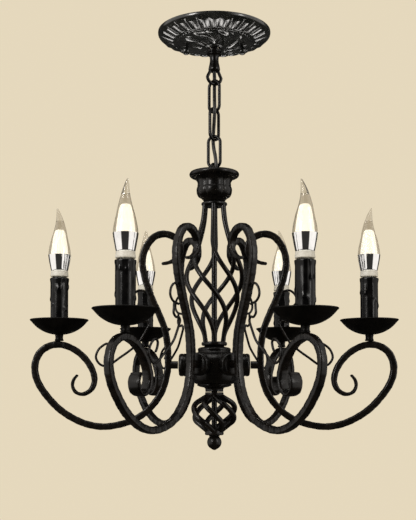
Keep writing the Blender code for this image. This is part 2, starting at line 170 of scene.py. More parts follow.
def framesAlong(line, side):
    # Tangent, side and normal at each point of a line; the side stays near the given direction.
    tangent = np.gradient(line, axis=0)
    tangent /= np.linalg.norm(tangent, axis=1, keepdims=True)
    side = np.broadcast_to(np.asarray(side, float), line.shape)
    across = side - tangent * np.einsum("ij,ij->i", side, tangent)[:, None]
    across /= np.linalg.norm(across, axis=1, keepdims=True)
    return tangent, across, np.cross(tangent, across)


def bar(line, side, halfAcross, halfNormal, cols=20, square=2.0, roundEnds=True):
    # Carry a superellipse along a line: |x/a|^n + |y/b|^n = 1, with n = square, and domed ends.
    line = np.asarray(line, float)
    rows = len(line)
    a = np.broadcast_to(np.asarray(halfAcross, float), (rows,)).copy()
    b = np.broadcast_to(np.asarray(halfNormal, float), (rows,)).copy()
    n = np.broadcast_to(np.asarray(square, float), (rows,))
    if roundEnds:
        run = np.concatenate([[0.0], np.cumsum(np.linalg.norm(np.diff(line, axis=0), axis=1))])
        nearest = np.minimum(run, run[-1] - run)
        reach = np.minimum(a, b)
        dome = np.sqrt(np.clip(1 - (1 - np.clip(nearest / reach, 0, 1)) ** 2, 0.02, 1))
        a, b = a * dome, b * dome
    tangent, across, normal = framesAlong(line, side)
    angle = np.linspace(0, 2 * np.pi, cols, endpoint=False)
    c, s = np.cos(angle), np.sin(angle)
    power = (2.0 / n)[:, None]
    x = np.sign(c) * np.abs(c) ** power * a[:, None]
    y = np.sign(s) * np.abs(s) ** power * b[:, None]
    return line[:, None, :] + across[:, None, :] * x[..., None] + normal[:, None, :] * y[..., None]


def denser(line, ends=6, reach=2.0):
    # Add points close to both ends of a line, so that a domed end is round.
    near = reach * (1 - np.cos(np.linspace(0, np.pi / 2, ends, endpoint=False)))
    run = np.concatenate([[0.0], np.cumsum(np.linalg.norm(np.diff(line, axis=0), axis=1))])
    inner = run[(run > reach) & (run < run[-1] - reach)]
    even = np.concatenate([near, inner, run[-1] - near[::-1]])
    return np.stack([np.interp(even, run, line[:, i]) for i in range(line.shape[1])], axis=1)


def inPlane(knots):
    # (radius, depth) knots as points in the plane y = 0.
    knots = np.asarray(knots, float)
    return np.stack([knots[:, 0], np.zeros(len(knots)), -knots[:, 1]], axis=1)


def atAngle(radius, depth, angle):
    # Points from arrays of radius, depth and angle in degrees from the front.
    turn = np.radians(np.asarray(angle, float) - 90)
    return np.stack([radius * np.cos(turn), radius * np.sin(turn), -np.asarray(depth, float)], axis=-1)


class Wire:
    # A socket that adds, multiplies and divides by adding Math nodes.

    def __init__(self, tree, socket):
        self.tree, self.socket = tree, socket

    def math(self, operation, first, second):
        # One Math node on two sockets or numbers.
        return self.make("ShaderNodeMath", {"operation": operation}, {0: first, 1: second})

    def make(self, kind, settings, inputs, output=0):
        # Any node: its type, its settings, then its inputs as numbers or links; gives one of its outputs.
        node = self.tree.nodes.new(kind)
        for key, value in settings.items():
            setattr(node, key, value)
        for key, value in inputs.items():
            if isinstance(value, Wire):
                self.tree.links.new(value.socket, node.inputs[key])
            else:
                node.inputs[key].default_value = value
        return Wire(self.tree, node.outputs[output])

    def __add__(self, other):
        return self.math("ADD", self, other)

    def __radd__(self, other):
        return self.math("ADD", other, self)

    def __sub__(self, other):
        return self.math("SUBTRACT", self, other)

    def __rsub__(self, other):
        return self.math("SUBTRACT", other, self)

    def __mul__(self, other):
        return self.math("MULTIPLY", self, other)

    def __rmul__(self, other):
        return self.math("MULTIPLY", other, self)

    def __truediv__(self, other):
        return self.math("DIVIDE", self, other)

    def __rtruediv__(self, other):
        return self.math("DIVIDE", other, self)


def newFinish(name, **fixed):
    # A material with a Principled shader; fixed values go straight on its sockets.
    material = bpy.data.materials.new(name)
    material.use_nodes = True
    shader = material.node_tree.nodes["Principled BSDF"]
    for key, value in fixed.items():
        shader.inputs[key.replace("_", " ")].default_value = value
    wire = Wire(material.node_tree, None)
    place = wire.make("ShaderNodeTexCoord", {}, {}, "Object")
    return material, shader, wire, place


def noise(wire, place, scale, detail=3.0, rough=0.5):
    # Soft noise between 0 and 1 over the object; a larger scale is finer.
    return wire.make("ShaderNodeTexNoise", {},
                     {"Vector": place, "Scale": scale, "Detail": detail, "Roughness": rough})


def mixColour(wire, factor, low, high):
    # The low colour where the factor is 0, the high colour where it is 1; 6, 7 and 2 are the colour
    # sockets.
    colours = {0: factor, 6: (*low, 1.0), 7: (*high, 1.0)}
    return wire.make("ShaderNodeMix", {"data_type": "RGBA"}, colours, 2)


def clampTo(wire, value, low, high):
    # Map a value from one range to 0..1, held at both ends.
    return wire.make("ShaderNodeMapRange", {"clamp": True},
                     {"Value": value, "From Min": low, "From Max": high, "To Min": 0.0, "To Max": 1.0})


def bumped(wire, shader, height, strength, distance):
    # Tilt the shader's normal by the slope of a height.
    normal = wire.make("ShaderNodeBump", {}, {"Height": height, "Strength": strength,
                                              "Distance": distance}, "Normal")
    wire.tree.links.new(normal.socket, shader.inputs["Normal"])


def paintedIron(name, dark, light, roughLow, roughHigh, dents, mirror):
    # Black paint over forged iron: soft hammer dents, fine paint grain, and a brownish bloom in patches.
    material, shader, wire, place = newFinish(name, Metallic=0.0, IOR=1.5, Specular_IOR_Level=mirror)
    patches = clampTo(wire, noise(wire, place, 55.0, 4.0, 0.6), 0.38, 0.66)
    specks = clampTo(wire, noise(wire, place, 900.0, 2.0, 0.6), 0.60, 0.72)
    colour = mixColour(wire, patches * 0.75 + specks * 0.25, dark, light)
    wire.tree.links.new(colour.socket, shader.inputs["Base Color"])
    scuffs = clampTo(wire, noise(wire, place, 210.0, 5.0, 0.65), 0.35, 0.7)
    rough = scuffs * (roughHigh - roughLow) + roughLow
    wire.tree.links.new(rough.socket, shader.inputs["Roughness"])
    hammer = wire.make("ShaderNodeTexVoronoi", {"feature": "SMOOTH_F1"},
                       {"Vector": place, "Scale": 150.0, "Smoothness": 1.0}, "Distance")
    grain = noise(wire, place, 1500.0, 2.0, 0.5)
    bumped(wire, shader, hammer * dents + grain * 0.05 + noise(wire, place, 120.0) * 0.5 * dents, 0.28,
           0.0006)
    return material


def glossPaint():
    # Thick gloss black paint on the pressed canopy, with faint runs and dust.
    material, shader, wire, place = newFinish("canopyGlossBlack", Metallic=0.0, IOR=1.55,
                                              Coat_Roughness=0.05)
    dust = clampTo(wire, noise(wire, place, 700.0, 3.0, 0.6), 0.58, 0.76)
    tone = clampTo(wire, noise(wire, place, 60.0, 3.0, 0.5), 0.35, 0.7)
    colour = mixColour(wire, tone * 0.6 + dust * 0.4, (0.0035, 0.004, 0.004), (0.016, 0.017, 0.017))
    wire.tree.links.new(colour.socket, shader.inputs["Base Color"])
    rough = dust * 0.2 + tone * 0.08 + 0.16
    wire.tree.links.new(rough.socket, shader.inputs["Roughness"])
    shader.inputs["Coat Weight"].default_value = 0.25
    bumped(wire, shader, noise(wire, place, 160.0, 3.0) + noise(wire, place, 900.0, 2.0) * 0.1, 0.12,
           0.0006)
    return material


def waxBlack():
    # Black moulded resin of the candle tube: glossy, a little uneven like set wax.
    material, shader, wire, place = newFinish("candleBlackResin", Metallic=0.0, IOR=1.5,
                                              Specular_IOR_Level=0.20)
    cloud = clampTo(wire, noise(wire, place, 90.0, 3.0, 0.5), 0.35, 0.68)
    colour = mixColour(wire, cloud, (0.0010, 0.0010, 0.0012), (0.0035, 0.0035, 0.0038))
    wire.tree.links.new(colour.socket, shader.inputs["Base Color"])
    rough = cloud * 0.10 + 0.13
    wire.tree.links.new(rough.socket, shader.inputs["Roughness"])
    bumped(wire, shader, noise(wire, place, 140.0, 3.0) + noise(wire, place, 900.0, 2.0) * 0.1, 0.12,
           0.0005)
    return material


def plainMetal(name, colour, roughLow, roughHigh, grain, strength):
    # Bare or plated metal with a fine grain and patchy gloss.
    material, shader, wire, place = newFinish(name, Metallic=1.0)
    cloud = clampTo(wire, noise(wire, place, grain, 4.0, 0.6), 0.35, 0.7)
    tint = mixColour(wire, cloud, colour, tuple(c * 0.82 for c in colour))
    wire.tree.links.new(tint.socket, shader.inputs["Base Color"])
    rough = cloud * (roughHigh - roughLow) + roughLow
    wire.tree.links.new(rough.socket, shader.inputs["Roughness"])
    bumped(wire, shader, noise(wire, place, grain * 6, 2.0), strength, 0.0002)
    return material


def moulded(name, low, high, roughness, grain, **fixed):
    # Moulded plastic or fired ceramic: two close tones, a fine grain, even gloss.
    material, shader, wire, place = newFinish(name, Metallic=0.0, **fixed)
    cloud = clampTo(wire, noise(wire, place, grain, 3.0, 0.55), 0.35, 0.7)
    colour = mixColour(wire, cloud, low, high)
    wire.tree.links.new(colour.socket, shader.inputs["Base Color"])
    rough = cloud * 0.1 + roughness
    wire.tree.links.new(rough.socket, shader.inputs["Roughness"])
    bumped(wire, shader, noise(wire, place, grain * 8, 2.0), 0.1, 0.0003)
    return material


def cableJacket():
    # Black cable jacket with the faint twist of the cores under it.
    material, shader, wire, place = newFinish("cableJacketBlack", Metallic=0.0)
    wave = wire.make("ShaderNodeTexWave", {"wave_type": "BANDS", "bands_direction": "DIAGONAL"},
                     {"Vector": place, "Scale": 70.0, "Distortion": 0.6}, "Fac")
    tone = clampTo(wire, noise(wire, place, 400.0), 0.35, 0.7)
    colour = mixColour(wire, tone, (0.006, 0.006, 0.006), (0.018, 0.018, 0.017))
    wire.tree.links.new(colour.socket, shader.inputs["Base Color"])
    rough = tone * 0.12 + 0.36
    wire.tree.links.new(rough.socket, shader.inputs["Roughness"])
    bumped(wire, shader, wave, 0.3, 0.0004)
    return material


def clearGlass():
    # Thin clear glass; faint ripples keep its outline soft.
    material, shader, wire, place = newFinish("bulbClearGlass", Metallic=0.0, IOR=1.46,
                                              Base_Color=(0.74, 0.72, 0.69, 1))
    shader.inputs["Transmission Weight"].default_value = 1.0
    rough = clampTo(wire, noise(wire, place, 60.0), 0.4, 0.8) * 0.02 + 0.005
    wire.tree.links.new(rough.socket, shader.inputs["Roughness"])
    bumped(wire, shader, noise(wire, place, 80.0), 0.05, 0.0004)
    return material


def glowingCore(low, high):
    # Opal light guide in the bulb, lit from its base: the glow thins towards its top.
    material, shader, wire, place = newFinish("bulbGlowingCore", Metallic=0.0, Roughness=0.35,
                                              Base_Color=(0.95, 0.94, 0.90, 1))
    height = wire.make("ShaderNodeSeparateXYZ", {}, {"Vector": place}, "Z")
    climb = clampTo(wire, height, low, high)
    cloud = clampTo(wire, noise(wire, place, 120.0), 0.3, 0.7)
    glow = mixColour(wire, climb * 0.8 + cloud * 0.2, (1.0, 0.965, 0.84), (1.0, 0.945, 0.79))
    wire.tree.links.new(glow.socket, shader.inputs["Emission Color"])
    shader.inputs["Emission Strength"].default_value = 1.08
    return material


finishes = {
    "iron": paintedIron("forgedBlackIron", (0.0016, 0.0014, 0.0013), (0.0075, 0.0056, 0.0047), 0.24,
                        0.36, 0.3, 0.26),
    "turnedIron": paintedIron("turnedBlackIron", (0.0014, 0.0013, 0.0012), (0.0055, 0.0046, 0.0040),
                              0.22, 0.34, 0.15, 0.24),
    "bowl": paintedIron("spunBlackBowl", (0.0010, 0.0009, 0.0008), (0.0030, 0.0026, 0.0024), 0.34,
                        0.46, 0.15, 0.10),
    "canopy": glossPaint(),
    "wax": waxBlack(),
    "zinc": plainMetal("zincPlate", (0.62, 0.62, 0.60), 0.28, 0.45, 300.0, 0.1),
    "chrome": plainMetal("bulbChrome", (0.90, 0.90, 0.90), 0.05, 0.09, 40.0, 0.02),
    "brass": plainMetal("nickelBase", (0.72, 0.70, 0.64), 0.22, 0.34, 200.0, 0.08),
    "collar": moulded("bulbGreyCollar", (0.46, 0.46, 0.45), (0.56, 0.56, 0.55), 0.42, 300.0),
    "porcelain": moulded("firedPorcelain", (0.72, 0.70, 0.65), (0.80, 0.78, 0.73), 0.38, 220.0),
    "cable": cableJacket(),
    "glass": clearGlass(),
    "glow": glowingCore(-0.358, -0.318),
}
print("finishes made")


canopy = {"sheet": 1.2, "lobes": 28, "beadRing": 60.5, "leaves": 8, "rows": 150, "cols": 480}


def canopyRelief(radius, angle):
    # Pressed ornament, outwards in mm: a fan of lobes near the rim, a beaded ring, and curling leaves
    # inside it.
    lobes = np.abs(np.cos(canopy["lobes"] * angle / 2)) ** 0.8
    fan = 2.4 * lobes * fade(radius, 63.0, 67.0) * (1 - fade(radius, 83.5, 88.0))
    ring = (1.5 + 0.22 * np.cos(60 * angle)) * bump(radius, canopy["beadRing"], 2.1)
    swirl = canopy["leaves"] * (angle + 0.016 * (radius - 20))
    leaf = np.clip(np.cos(swirl), 0, 1) ** 0.6
    veins = 0.18 * np.cos(3 * swirl + 0.25 * radius) * leaf
    curl = 0.9 * np.clip(np.cos(swirl * 2 + 1.4), 0, 1) * bump(radius, 50.0, 3.5)
    leaves = (2.0 * leaf + veins) * fade(radius, 17.0, 24.0) * (1 - fade(radius, 46.0, 56.0)) + curl
    collar = 1.6 * bump(radius, 14.6, 2.0)
    return fan + ring + leaves + collar


def buildCanopy():
    # the face's line from rim to centre, then the same line back along the inner side
    face = smoothLine([(89.7, 0.6), (90.0, 2.6), (89.6, 5.0), (88.2, 6.8), (84, 8.8), (76, 12.0),
                       (66, 15.4), (56, 17.8), (48, 19.4), (34, 22.6), (22, 25.6), (14, 26.6),
                       (7.2, 26.6)], canopy["rows"])
    angle = np.linspace(0, 2 * np.pi, canopy["cols"], endpoint=False)[None, :]
    radius, depth = face[:, :1], face[:, 1:]
    outerDepth = depth + canopyRelief(radius, angle)
    innerLine = face[::-1].copy()
    keep = innerLine[:, 0] < 88.0
    innerLine = np.vstack([innerLine[keep], [[88.4, 3.4], [88.6, 0.6]]])
    innerRadius = innerLine[:, :1]
    innerDepth = innerLine[:, 1:] - canopy["sheet"] + canopyRelief(innerRadius,
                                                                   angle) * 0.8 * fade(-innerRadius,
                                                                                       -86, -82)
    radii = np.vstack([np.broadcast_to(radius, outerDepth.shape),
                       np.broadcast_to(innerRadius, innerDepth.shape)])
    depths = np.maximum(np.vstack([outerDepth, innerDepth]), 0.45)
    grid = np.stack([radii * np.cos(angle), radii * np.sin(angle), -depths], axis=-1)
    piece("canopyDish", [shell(grid, wrapRows=True)], finishes["canopy"], "ceiling_mount", 60,
          ["canopy"])
    for side, node in ((-1, "canopy_screw_left"), (1, "canopy_screw_right")):
        knob = [(0.05, 2.4), (4.2, 2.4), (4.4, 2.8), (4.4, 4.2), (4.1, 4.5), (2.2, 4.6), (2.2, 23.6),
                (4.6, 23.7), (5.2, 24.2), (5.2, 25.2), (4.4, 25.6)]
        arc = np.radians(np.linspace(-46, 89, 16))
        knob += list(zip(6.4 * np.cos(arc), 30.6 + 6.4 * np.sin(arc)))
        piece("canopyCapNut" + ("Left" if side < 0 else "Right"), [shell(turned(knob, 40, side * 45.0))],
              finishes["canopy"], "ceiling_mount", 40, [node])
    for part in ("canopyDish", "canopyCapNutLeft", "canopyCapNutRight"):
        canopyOnly.objects.link(bpy.data.objects[part])
    print("canopy done")


chain = {"wire": 2.5, "cable": 2.9, "bend": 9.8, "firstPivot": hingeDepths[0],
         "pitch": hingeDepths[1] - hingeDepths[0], "gap": 0.3, "loopPlane": 25.0,
         "linkPlanes": (-35.0, 45.0, -15.0), "eyePlane": 60.0}


def upright(line2d, plane):
    # A flat (across, depth) line stood in a vertical plane at an angle from +X.
    a = math.radians(plane)
    return np.stack([line2d[:, 0] * math.cos(a), line2d[:, 0] * math.sin(a), -line2d[:, 1]], axis=1)


def planeNormal(plane):
    # The level direction across a vertical plane at an angle from +X.
    a = math.radians(plane)
    return np.array([-math.sin(a), math.cos(a), 0.0])


def buildLoop(name, node, body, plane, bottom, collar, neckDepth, halfWidth, flip):
    # Wire from the neck out to a shoulder and round a half circle back, on a turned collar; flip -1
    # turns it over.
    arc = np.radians(np.linspace(0, 90, 9))
    bend = halfWidth
    shoulder = neckDepth + 0.55 * (bottom - neckDepth)
    outline = [(6.2, neckDepth - 4 * flip), (6.6, neckDepth), (halfWidth, shoulder)]
    outline += [(bend * math.cos(a), bottom - flip * bend * (1 - math.sin(a))) for a in arc[1:]]
    outline += [(-r, d) for r, d in outline[-2::-1]]
    line = upright(smoothLine(outline, 90), plane)
    wire = bar(line, planeNormal(plane), chain["wire"], chain["wire"], 18, roundEnds=False)
    piece(name, [shell(wire), shell(turned(collar, 48), wrapRows=True)], finishes["turnedIron"], body, 40,
          [node])


def buildChain():
    # Each link is two half circles joined by straight sides, in a vertical plane of its own, a pitch
    # below the last.
    loopCollar = [(3.6, 3.2), (5.3, 3.2), (5.6, 3.6), (5.6, 28.9), (10.8, 29.0), (11.8, 29.9),
                  (11.8, 31.4), (11.2, 32.2), (11.2, 33.4), (11.8, 34.2), (11.8, 36.8), (10.8, 37.8),
                  (8.4, 38.4), (7.4, 40.0), (6.9, 45.0), (7.3, 50.0), (8.4, 55.0), (9.2, 59.0),
                  (9.4, 61.0), (8.8, 62.8), (6.6, 64.4), (3.6, 64.4)]
    buildLoop("canopyLoop", "canopy_loop", "ceiling_mount", chain["loopPlane"], chain["firstPivot"],
              loopCollar, 62.0, 12.2, 1)
    for k, plane in enumerate(chain["linkPlanes"]):
        pivot = chain["firstPivot"] + chain["pitch"] * k
        top, bottom = pivot - 2 * chain["wire"] - chain["gap"], pivot + chain["pitch"]
        arc = np.linspace(0, np.pi, 25)
        lower = np.stack([chain["bend"] * np.cos(arc), bottom - chain["bend"] * (1 - np.sin(arc))], axis=1)
        upper = np.stack([-chain["bend"] * np.cos(arc), top + chain["bend"] * (1 - np.sin(arc))], axis=1)
        straight = np.linspace(0, 1, 8)[1:-1, None]
        ring = np.vstack([lower, lower[-1] + (upper[0] - lower[-1]) * straight, upper,
                          upper[-1] + (lower[0] - upper[-1]) * straight])
        line = upright(ring, plane)
        # the weld swells the wire a little, half way up one side
        weld = 0.28 * bump(ring[:, 1], (top + bottom) / 2, 1.6) * (ring[:, 0] > 0)
        size = chain["wire"] * 0.985 + weld
        joined = np.vstack([line[-2:], line, line[:2]])
        tangent, across, normal = framesAlong(joined, planeNormal(plane))
        across, normal = across[2:-2], normal[2:-2]
        angle = np.linspace(0, 2 * np.pi, 18, endpoint=False)
        grid = (line[:, None] + across[:, None] * (np.cos(angle)[None, :, None] * size[:, None, None])
                + normal[:, None] * (np.sin(angle)[None, :, None] * size[:, None, None]))
        piece(f"chainLink{k + 1}", [shell(grid, wrapRows=True)], finishes["turnedIron"],
              f"chain_link_{k + 1}_body", 40, [f"chain_link_{k + 1}"])
    lastPivot = chain["firstPivot"] + chain["pitch"] * len(chain["linkPlanes"])
    eyeCollar = [(3.6, 261.4), (6.1, 261.4), (6.5, 261.0), (6.5, 246.0), (7.6, 245.2), (7.6, 242.4),
                 (6.4, 241.2), (5.0, 240.8), (3.6, 240.8)]
    buildLoop("topEye", "top_eye", "fixture", chain["eyePlane"],
              lastPivot - 2 * chain["wire"] - chain["gap"], eyeCollar, 242.0, 10.0, -1)
    print("chain done")


# the cable's way through the chain: x, y, depth
cableRoute = [(0, 0, 44.0), (0, 0, 62.0), (0.4, 3.6, 73.0), (0.5, 6.8, 82.0), (0.3, 2.6, 97.0),
              (0.4, -4.2, 114.0), (0.6, -7.5, 127.0), (0.0, -3.4, 142.0), (-1.0, 3.0, 157.0),
              (-1.8, 6.7, 171.6), (-0.8, 2.4, 187.0), (1.6, -4.4, 202.0), (2.8, -7.0, 216.0),
              (1.8, -4.0, 226.0), (0, 0, 237.0), (0, 0, 246.0)]


def buildCable():
    # The cable in four lengths, each spanning one joint of the chain, cut where it runs inside a
    # link.
    line = smoothLine([(x, y, -d) for x, y, d in cableRoute], 260)
    middles = [-(chain["firstPivot"] + chain["pitch"] * (k + 0.5)) for k in range(3)]
    cuts = [-43.0, *middles, -247.0]
    for k in range(4):
        keep = (line[:, 2] <= cuts[k] + 0.4) & (line[:, 2] >= cuts[k + 1] - 0.4)
        grid = bar(line[keep], (0.9, 0.1, 0.0), chain["cable"], chain["cable"], 20, roundEnds=False)
        obj = piece(f"powerCable{k + 1}", [shell(grid)], finishes["cable"], None, 50)
        pivot = -(chain["firstPivot"] + chain["pitch"] * k)
        (pivot + 9) * mm
        (pivot - 9) * mm
        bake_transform(obj)
        if k == 0:
            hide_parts("power_cable")
    print("cable done")


def petalRelief(radius, depth, angle):
    # Six soft petals round the cup, each with a crease down its middle and a nick at the waist.
    lobes = np.abs(np.sin(3 * angle)) ** 0.6 - 0.55
    crease = -0.5 * np.abs(np.cos(3 * angle)) ** 14
    waist = -0.5 * bump(depth, 250.5, 1.2)
    body = fade(depth, 233.0, 238.5) * (1 - fade(depth, 264.5, 268.5))
    return (1.5 * lobes + crease + waist) * body


def buildTopCup():
    # Bell line, rolled rim and inner line turned about the axis, with the petals added to its radius.
    outside = smoothLine([(7.0, 274.2), (15.6, 274.2), (17.6, 272.0), (20.6, 268.6), (25.6, 265.0),
                          (28.2, 259.6), (28.6, 255.4), (27.6, 250.6), (26.8, 245.8), (27.6, 241.2),
                          (30.6, 237.2), (33.8, 235.4)], 60)
    rollCentre, rollRadius = (35.3, 230.4), 4.4
    arc = np.radians(np.linspace(105, -160, 30))
    roll = np.stack([rollCentre[0] + rollRadius * np.cos(arc),
                     rollCentre[1] + rollRadius * np.sin(arc)], axis=1)
    inside = smoothLine([(31.0, 231.0), (27.8, 236.0), (25.4, 241.0), (24.8, 245.6), (25.4, 250.6),
                         (26.4, 256.0), (23.8, 262.8), (18.6, 266.4), (15.2, 271.6), (13.6, 272.6),
                         (7.0, 272.7)], 50)
    line = np.vstack([outside, roll, inside])
    grid = turned(line, 192, relief=petalRelief)
    piece("topCup", [shell(grid, wrapRows=True)], finishes["turnedIron"], "fixture", 50, ["top_cup"])
    print("top cup done")


cage = {"start": -65.0, "twist": 127.0, "from": 335.5, "over": 168.0, "barRadius": 3.7}


def cageAngle(depth):
    # The bars keep straight, then turn by a smooth step of the depth, then keep straight again.
    return cage["start"] + cage["twist"] * fade(depth, cage["from"], cage["from"] + cage["over"])


def buildCage():
    # Each bar follows the outline's radius at its depth, a sixth of a turn from the next.
    outline = smoothLine([(16.6, 279.0), (17.6, 290.0), (19.6, 305.0), (24.0, 322.0), (31.0, 343.0),
                          (38.0, 362.0), (42.6, 379.0), (44.0, 391.0), (43.2, 408.0), (39.6, 426.0),
                          (32.8, 447.0), (25.4, 466.0), (18.6, 483.0), (15.6, 500.0)], 150)
    shells = []
    for k in range(armCount):
        line = atAngle(outline[:, 0], outline[:, 1], cageAngle(outline[:, 1]) + 60 * k)
        out = line * np.array([1, 1, 0])
        shells.append(shell(bar(line, out, cage["barRadius"], cage["barRadius"], 18, roundEnds=False)))
    topRing = smoothRing([(6.6, 275.1), (19.2, 275.1), (20.6, 276.6), (20.6, 278.6), (19.4, 280.2),
                          (15.0, 282.0), (6.6, 282.0)])
    lowRing = smoothRing([(6.6, 497.4), (18.6, 497.4), (20.2, 498.8), (20.2, 502.0), (19.0, 503.4),
                          (6.6, 503.4)])
    shells += [shell(turned(topRing, 96), wrapRows=True), shell(turned(lowRing, 96), wrapRows=True)]
    piece("cageBars", shells, finishes["iron"], "fixture", 45, ["cage"])
    print("cage done")


def smoothRing(corners, cut=0.35):
    # A closed outline whose corners are cut back and rounded by two passes of corner cutting.
    line = np.asarray(corners, float)
    for _ in range(2):
        ahead = np.roll(line, -1, axis=0)
        gap = ahead - line
        size = np.maximum(np.linalg.norm(gap, axis=1, keepdims=True), 1e-6)
        step = gap / size * np.minimum(cut, size * 0.3)
        line = np.stack([line + step, ahead - step], axis=1).reshape(-1, 2)
        cut *= 0.4
    return line


def buildColumn():
    # Turned pieces on the axis: pipe, drum and lid.
    # pipe with a fine turned thread where it is seen inside the cage
    depth = np.linspace(262.2, 635.8, 700)
    outer = np.stack([4.5 - 0.12 * (1 + np.cos(depth * 2 * np.pi / 1.6)), depth], axis=1)
    line = np.vstack([outer, [[3.3, 635.8], [3.3, 262.2]]])
    piece("centrePipe", [shell(turned(line, 28), wrapRows=True)], finishes["turnedIron"], "fixture", 40,
          ["centre_pipe"])
    # drum with a beaded shoulder, a swelling belly and a stepped foot
    drum = [(5.3, 504.0), (15.2, 504.0), (16.2, 504.9), (23.4, 506.6), (25.6, 508.0), (26.2, 510.2),
            (25.6, 512.2), (27.2, 514.6), (31.6, 518.6), (35.4, 524.0), (37.2, 530.6), (37.4, 537.4),
            (36.6, 546.0), (34.8, 554.4), (32.6, 560.2), (29.6, 563.6), (27.0, 564.2)]
    inner = [(25.4, 562.0), (30.6, 557.0), (33.6, 547.0), (34.4, 536.0), (33.4, 527.0), (29.0, 520.0),
             (23.0, 514.0), (20.0, 509.5), (5.3, 508.0)]
    line = np.vstack([smoothLine(drum, 110), smoothLine(inner, 40)])
    piece("hubDrum", [shell(turned(line, 120), wrapRows=True)], finishes["turnedIron"], "fixture", 50,
          ["hub_body"])
    lid = smoothRing([(5.3, 562.7), (25.0, 562.7), (27.4, 565.0), (27.2, 566.6), (22.4, 568.6),
                      (16.0, 569.8), (14.4, 571.4), (14.0, 574.0), (14.6, 576.4), (5.3, 576.4)], 0.8)
    piece("hubLid", [shell(turned(lid, 96), wrapRows=True)], finishes["turnedIron"], "fixture", 50,
          ["hub_lid"])
    print("column done")


basketTwist = 1.9       # degrees of turn for each millimetre down


def buildLowerCage():
    # Basket bars turn evenly with depth between two discs; the ball nut below is an arc turned about
    # the axis.
    outline = smoothLine([(10.6, 582.4), (20.8, 589.0), (28.6, 594.6), (32.4, 600.6), (33.6, 608.0),
                          (33.0, 615.4), (29.8, 621.8), (22.0, 628.4), (11.0, 638.0)], 110)
    shells = []
    for k in range(armCount):
        line = atAngle(outline[:, 0], outline[:, 1], 60 * k + basketTwist * (outline[:, 1] - 580.0))
        shells.append(shell(bar(line, line * np.array([1, 1, 0]), 4.3, 4.3, 18, roundEnds=False)))
    top = smoothRing([(5.3, 577.0), (14.0, 577.0), (14.8, 578.4), (14.0, 583.0), (5.3, 584.0)], 0.6)
    low = smoothRing([(5.3, 634.6), (12.2, 634.6), (14.4, 638.4), (14.8, 641.0), (14.8, 643.6),
                      (13.6, 644.8), (5.3, 644.8)], 0.6)
    shells += [shell(turned(top, 80), wrapRows=True), shell(turned(low, 80), wrapRows=True)]
    piece("lowerBasket", shells, finishes["iron"], "fixture", 45, ["lower_cage"])
    arc = np.radians(np.linspace(-52, 62, 26))
    ball = list(zip(11.4 * np.cos(arc), 656.0 + 11.4 * np.sin(arc)))
    line = [(0.05, 636.6), (4.6, 636.6), (4.6, 645.4), (8.2, 645.4), (8.6, 646.2), (8.2, 647.0)] + ball
    line += [(3.4, 667.4), (1.6, 668.2), (0.05, 668.5)]
    piece("finialBall", [shell(turned(line, 80))], finishes["turnedIron"], "fixture", 40, ["finial"])
    print("lower basket done")


# the bar's centre line in three stretches: radius and depth, and where the section changes, half its
# thickness and half its width as well
armTail = [(84, 373, 2.1, 3.4), (73.6, 371.4, 2.8, 3.6), (64.8, 367.8, 3.4, 4.0),
           (56.6, 361, 4.1, 4.6), (52.6, 350.5, 4.7, 5.2), (55.6, 338.5, 5.2, 5.8)]
armSweep = [(65.6, 329.3), (79.5, 325.3), (94.4, 329.3), (105.8, 341.9), (112.6, 357.9), (114.2, 373),
            (111.2, 391.5), (105.6, 410.7), (97.6, 431.5), (88.8, 450.7), (78.4, 477.9), (74.4, 502),
            (73.2, 533.9), (76.6, 556.3), (82.8, 575.5), (91.4, 589.9), (101.6, 602), (115, 613.6),
            (136, 624.2), (172.8, 631.5), (200, 627.9), (222.6, 618.6), (244.8, 604), (262.9, 585.5),
            (276.8, 565.9), (283.4, 548.3), (283.6, 530.7), (275.8, 513.6), (261, 503.6)]
armRibbon = [(244.8, 501.6, 5.3, 6.2), (228.8, 506, 5.2, 6.5), (213, 515.8, 5.1, 6.9),
             (200.4, 529.3, 5.0, 7.4), (191.6, 546, 4.8, 7.9), (189.9, 561.1, 4.4, 8.5),
             (195.6, 573.6, 3.8, 9.1), (208, 580.2, 3.1, 9.6), (219, 577.2, 2.5, 10.0),
             (224.4, 567.5, 2.1, 10.2), (222.8, 557.6, 1.9, 10.3), (216.4, 549.4, 1.8, 10.4)]
tendrilDrop = [(109.6, 420.7), (112.4, 416.6), (120, 415.6), (128.6, 422.6), (131, 433), (124, 441.4),
               (106.4, 445.8)]
tendrilStem = [(120.4, 443.6), (120.8, 451.4), (121.4, 460), (114.6, 465.4), (107.4, 464.6), (103.6, 469.8),
               (106.6, 476.6), (112, 486), (121, 499.8), (136, 512.6), (150.4, 522.8), (164.8, 533),
               (173.4, 535.6), (181.6, 532.4), (187.6, 522.4), (184.4, 511), (178, 504.2),
               (169.9, 500.2), (164.6, 504.6), (166.4, 513.2), (170.9, 520)]
tendril = {"radius": 1.9}
arm = {"halfThick": 5.3, "halfWide": 6.0, "square": 4.2, "spreadSquare": 3.0, "rows": 420,
       "tubeRadius": 6.0}


